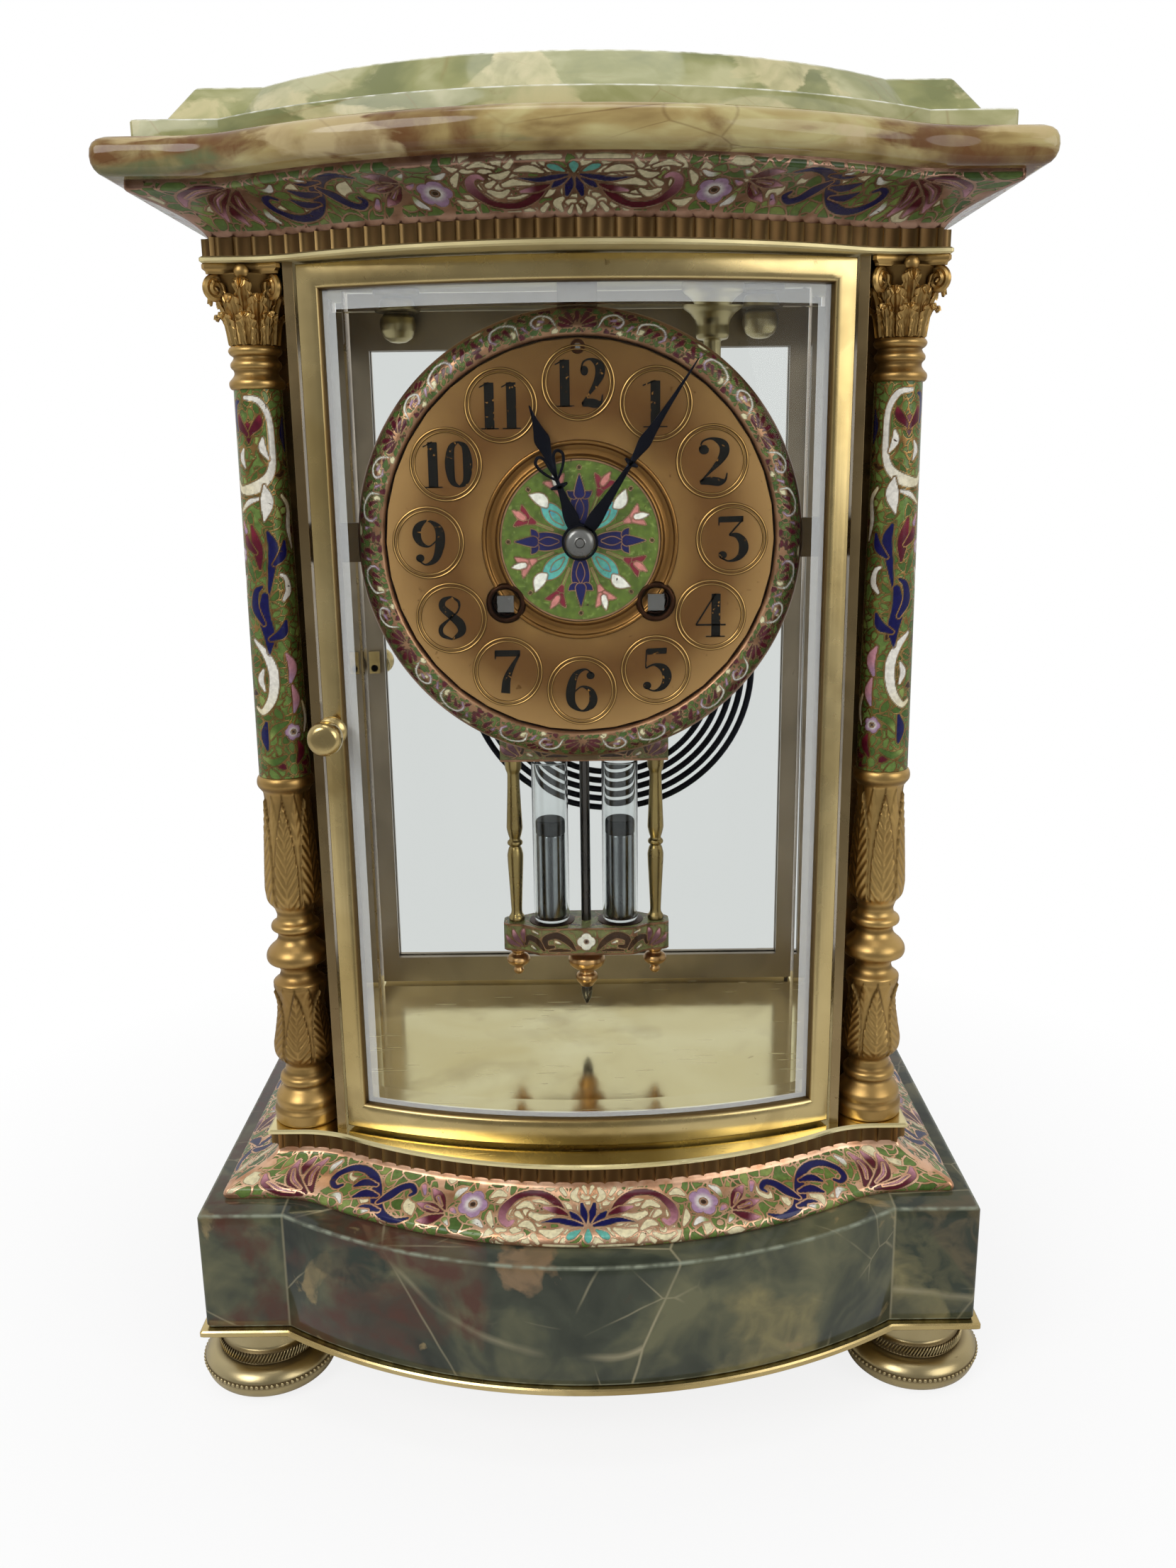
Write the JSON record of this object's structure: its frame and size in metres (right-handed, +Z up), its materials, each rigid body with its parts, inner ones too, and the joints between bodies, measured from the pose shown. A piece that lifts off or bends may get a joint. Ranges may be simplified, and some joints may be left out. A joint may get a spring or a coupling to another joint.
{
  "type": "four glass mantel clock",
  "caption": "Four glass mantel clock with a bowed glazed door, enamelled columns and mouldings, onyx base and top, round striking movement, mercury pendulum and coil gong.",
  "frame": {"origin": "on the surface that the clock stands on, under the middle of its box", "axes": "+Z up, -Y to the front where the dial and the bowed door are, +X to the right seen from the front"},
  "size_m": [0.2244, 0.176, 0.3423],
  "materials": {
    "onyx": "polished, dark grey-green with veins",
    "pale_onyx": "polished, yellow-green with amber bands",
    "enamel": "many-coloured enamel in brass cells",
    "brass": "aged satin",
    "gilt_brass": "matte gilt with dark recesses",
    "foot_brass": "worn pale brass",
    "movement_brass": "brushed",
    "dial_gilt": "matte gilt with engraved rings",
    "steel": "bright",
    "blued_steel": "blued, nearly black",
    "mercury": "mirror bright liquid metal",
    "glass": "clear, bevelled"
  },
  "bodies": {
    "case": {"foot_front_left": "foot_brass", "foot_front_right": "foot_brass", "foot_rear_left": "foot_brass", "foot_rear_right": "foot_brass", "base_plate": "brass", "base_block": "onyx", "base_moulding": "enamel", "plinth_plate": "brass", "column_base_left": "gilt_brass", "column_base_right": "gilt_brass", "column_shaft_left": "enamel", "column_shaft_right": "enamel", "column_capital_left": "gilt_brass", "column_capital_right": "gilt_brass", "side_frame_left": "brass", "side_frame_right": "brass", "side_glass_left": "glass", "side_glass_right": "glass", "top_plate": "brass", "cornice_moulding": "enamel", "top_slab": "pale_onyx", "top_cap": "pale_onyx", "movement_bracket": "brass", "dial_bezel": "enamel", "dial_plate": "dial_gilt", "dial_centre": "enamel", "front_plate": "movement_brass", "back_plate": "movement_brass", "suspension_cock": "movement_brass", "gong_coil": "blued_steel", "gong_post": "brass"},
    "front_door": {"front_door_frame": "brass", "front_glass": "glass"},
    "front_catch": {"front_knob": "brass"},
    "rear_door": {"rear_door_frame": "brass", "rear_glass": "glass"},
    "rear_catch": {"rear_knob": "brass"},
    "minute_arbor": {"centre_wheel": "movement_brass", "minute_hand": "blued_steel", "hand_collet": "steel"},
    "hour_pipe": {"hour_wheel": "movement_brass", "hour_hand": "blued_steel"},
    "motion_wheel": {"minute_wheel": "movement_brass"},
    "intermediate_arbor": {"intermediate_wheel": "movement_brass"},
    "going_drum": {"going_barrel": "movement_brass"},
    "going_winder": {"going_winding_arbor": "steel"},
    "strike_drum": {"strike_barrel": "movement_brass"},
    "strike_winder": {"strike_winding_arbor": "steel"},
    "third_arbor": {"third_wheel": "movement_brass"},
    "escape_arbor": {"escape_wheel": "movement_brass"},
    "pallets": {"anchor": "steel"},
    "pendulum": {"pendulum_rod": "steel", "pendulum_yoke": "gilt_brass", "pendulum_tray": "gilt_brass", "rating_nut": "gilt_brass", "jar_left": "glass", "jar_right": "glass", "mercury_left": "mercury", "mercury_right": "mercury"},
    "strike_hammer": {"hammer": "steel"}
  },
  "joints": [
    {"name": "front_door_hinge", "type": "hinge", "parent": "case", "child": "front_door", "pos_m": [0.0662, -0.0429, 0.19], "axis": [0, 0, 1], "range_deg": [0, 100]},
    {"name": "front_catch_turn", "type": "hinge", "parent": "front_door", "child": "front_catch", "pos_m": [-0.0645, -0.045, 0.19], "axis": [0, -1, 0], "range_deg": [0, 90]},
    {"name": "rear_door_hinge", "type": "hinge", "parent": "case", "child": "rear_door", "pos_m": [0.072, 0.0656, 0.19], "axis": [0, 0, -1], "range_deg": [0, 100]},
    {"name": "rear_catch_turn", "type": "hinge", "parent": "rear_door", "child": "rear_catch", "pos_m": [-0.0702, 0.064, 0.19], "axis": [0, -1, 0], "range_deg": [0, 90]},
    {"name": "minute_turn", "type": "hinge", "parent": "case", "child": "minute_arbor", "pos_m": [0, -0.0348, 0.2369], "axis": [0, 1, 0], "continuous": true},
    {"name": "hour_turn", "type": "hinge", "parent": "case", "child": "hour_pipe", "pos_m": [0, -0.0348, 0.2369], "axis": [0, 1, 0], "continuous": true},
    {"name": "motion_turn", "type": "hinge", "parent": "case", "child": "motion_wheel", "pos_m": [-0.0099, -0.0348, 0.2468], "axis": [0, 1, 0], "continuous": true},
    {"name": "intermediate_turn", "type": "hinge", "parent": "case", "child": "intermediate_arbor", "pos_m": [0.0161, -0.0348, 0.24235], "axis": [0, 1, 0], "continuous": true},
    {"name": "going_drum_turn", "type": "hinge", "parent": "case", "child": "going_drum", "pos_m": [0.0194, -0.0348, 0.2212], "axis": [0, 1, 0], "continuous": true},
    {"name": "going_wind", "type": "hinge", "parent": "case", "child": "going_winder", "pos_m": [0.0194, -0.0348, 0.2212], "axis": [0, 1, 0], "continuous": true},
    {"name": "strike_drum_turn", "type": "hinge", "parent": "case", "child": "strike_drum", "pos_m": [-0.0194, -0.0348, 0.2212], "axis": [0, 1, 0], "continuous": true},
    {"name": "strike_wind", "type": "hinge", "parent": "case", "child": "strike_winder", "pos_m": [-0.0194, -0.0348, 0.2212], "axis": [0, 1, 0], "continuous": true},
    {"name": "third_turn", "type": "hinge", "parent": "case", "child": "third_arbor", "pos_m": [-0.01043, -0.0348, 0.2485], "axis": [0, 1, 0], "continuous": true},
    {"name": "escape_turn", "type": "hinge", "parent": "case", "child": "escape_arbor", "pos_m": [0, -0.0348, 0.257], "axis": [0, 1, 0], "continuous": true},
    {"name": "pendulum_swing", "type": "hinge", "parent": "case", "child": "pendulum", "pos_m": [0, 0.02, 0.2704], "axis": [0, 1, 0], "range_deg": [-3, 3]},
    {"name": "pallet_rock", "type": "hinge", "parent": "case", "child": "pallets", "pos_m": [0, 0.02, 0.2704], "axis": [0, 1, 0], "range_deg": [-3, 3]},
    {"name": "hammer_lift", "type": "hinge", "parent": "case", "child": "strike_hammer", "pos_m": [-0.03, 0.0117, 0.2499], "axis": [0, 1, 0], "range_deg": [0, 18], "stiffness_Nm_per_rad": 0.02}
  ],
  "couplings": [
    {"joint": "hour_turn", "follows": "minute_turn", "ratio": 0.083333},
    {"joint": "motion_turn", "follows": "minute_turn", "ratio": -0.33333},
    {"joint": "intermediate_turn", "follows": "minute_turn", "ratio": -0.14286},
    {"joint": "going_drum_turn", "follows": "minute_turn", "ratio": 0.02381},
    {"joint": "third_turn", "follows": "minute_turn", "ratio": -12},
    {"joint": "escape_turn", "follows": "minute_turn", "ratio": 138},
    {"joint": "pallet_rock", "follows": "pendulum_swing", "ratio": 1}
  ]
}
